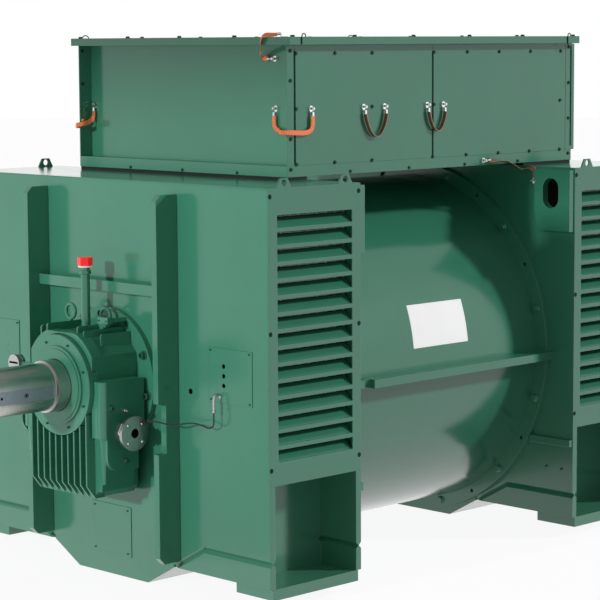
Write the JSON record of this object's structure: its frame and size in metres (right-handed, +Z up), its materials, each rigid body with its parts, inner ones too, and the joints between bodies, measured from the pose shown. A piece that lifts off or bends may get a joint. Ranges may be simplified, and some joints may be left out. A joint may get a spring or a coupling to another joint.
{
  "type": "industrial ac alternator",
  "caption": "Open ventilated synchronous alternator: louvred end boxes on feet, round stator frame, terminal box on top, finned sleeve bearing and a keyed shaft that turns.",
  "frame": {"origin": "on the shaft axis at the shoulder of the drive shaft extension", "axes": "-Y along the shaft extension, away from the machine; +X across the machine to the right as seen facing +Y; +Z up"},
  "size_m": [2.43, 4.269, 2.866],
  "materials": {
    "green_paint": "smooth glossy green paint",
    "green_cast": "green paint over cast iron",
    "bearing_metal": "white metal lined bronze shell",
    "red_cap": "glossy red",
    "steel_fittings": "turned steel",
    "white_plate": "bare white plate",
    "machined_steel": "turned bare steel",
    "key_steel": "ground bare steel",
    "tinned_lug": "tinned copper",
    "copper_braid": "orange insulated braid",
    "dark_cable": "dark sheath"
  },
  "bodies": {
    "machine": {"de_front_plate": "green_paint", "de_back_plate": "green_paint", "de_foot_right": "green_paint", "de_foot_left": "green_paint", "de_top_cover": "green_paint", "de_belly": "green_paint", "de_louvre_right": "green_paint", "de_louvre_left": "green_paint", "de_ribs": "green_paint", "de_cross_bar": "green_paint", "stator_frame": "green_paint", "stator_rings": "green_paint", "side_rails": "green_paint", "lifting_plates": "green_paint", "nde_inner_plate": "green_paint", "nde_outer_plate": "green_paint", "nde_foot_right": "green_paint", "nde_foot_left": "green_paint", "nde_top_cover": "green_paint", "nde_belly": "green_paint", "nde_louvre_right": "green_paint", "nde_louvre_left": "green_paint", "nde_ribs": "green_paint", "terminal_body": "green_paint", "terminal_covers_right": "green_paint", "terminal_covers_left": "green_paint", "terminal_lid": "green_paint", "bearing_flange": "green_cast", "bearing_housing": "green_cast", "seal_cover": "green_cast", "bearing_shells": "bearing_metal", "eyebolts": "green_paint", "breather_pipe": "green_paint", "breather_cap": "red_cap", "oil_flanges": "steel_fittings", "nde_bearing_housing": "green_cast", "nde_bearing_cover": "green_cast", "front_covers": "green_paint", "data_plate": "white_plate", "vent_fitting": "green_paint", "sensor_heads": "steel_fittings", "sensor_conduit": "steel_fittings", "strap_lugs": "tinned_lug", "strap_cover_1": "copper_braid", "strap_cover_2": "copper_braid", "strap_corner_right": "copper_braid", "strap_corner_left": "copper_braid", "strap_lid": "copper_braid", "strap_wall": "copper_braid", "sensor_cable": "dark_cable"},
    "rotor": {"shaft": "machined_steel", "shaft_key": "key_steel"}
  },
  "joints": [
    {"name": "rotor_spin", "type": "hinge", "parent": "machine", "child": "rotor", "pos_m": [0, 0, 0], "axis": [0, 1, 0], "continuous": true}
  ]
}
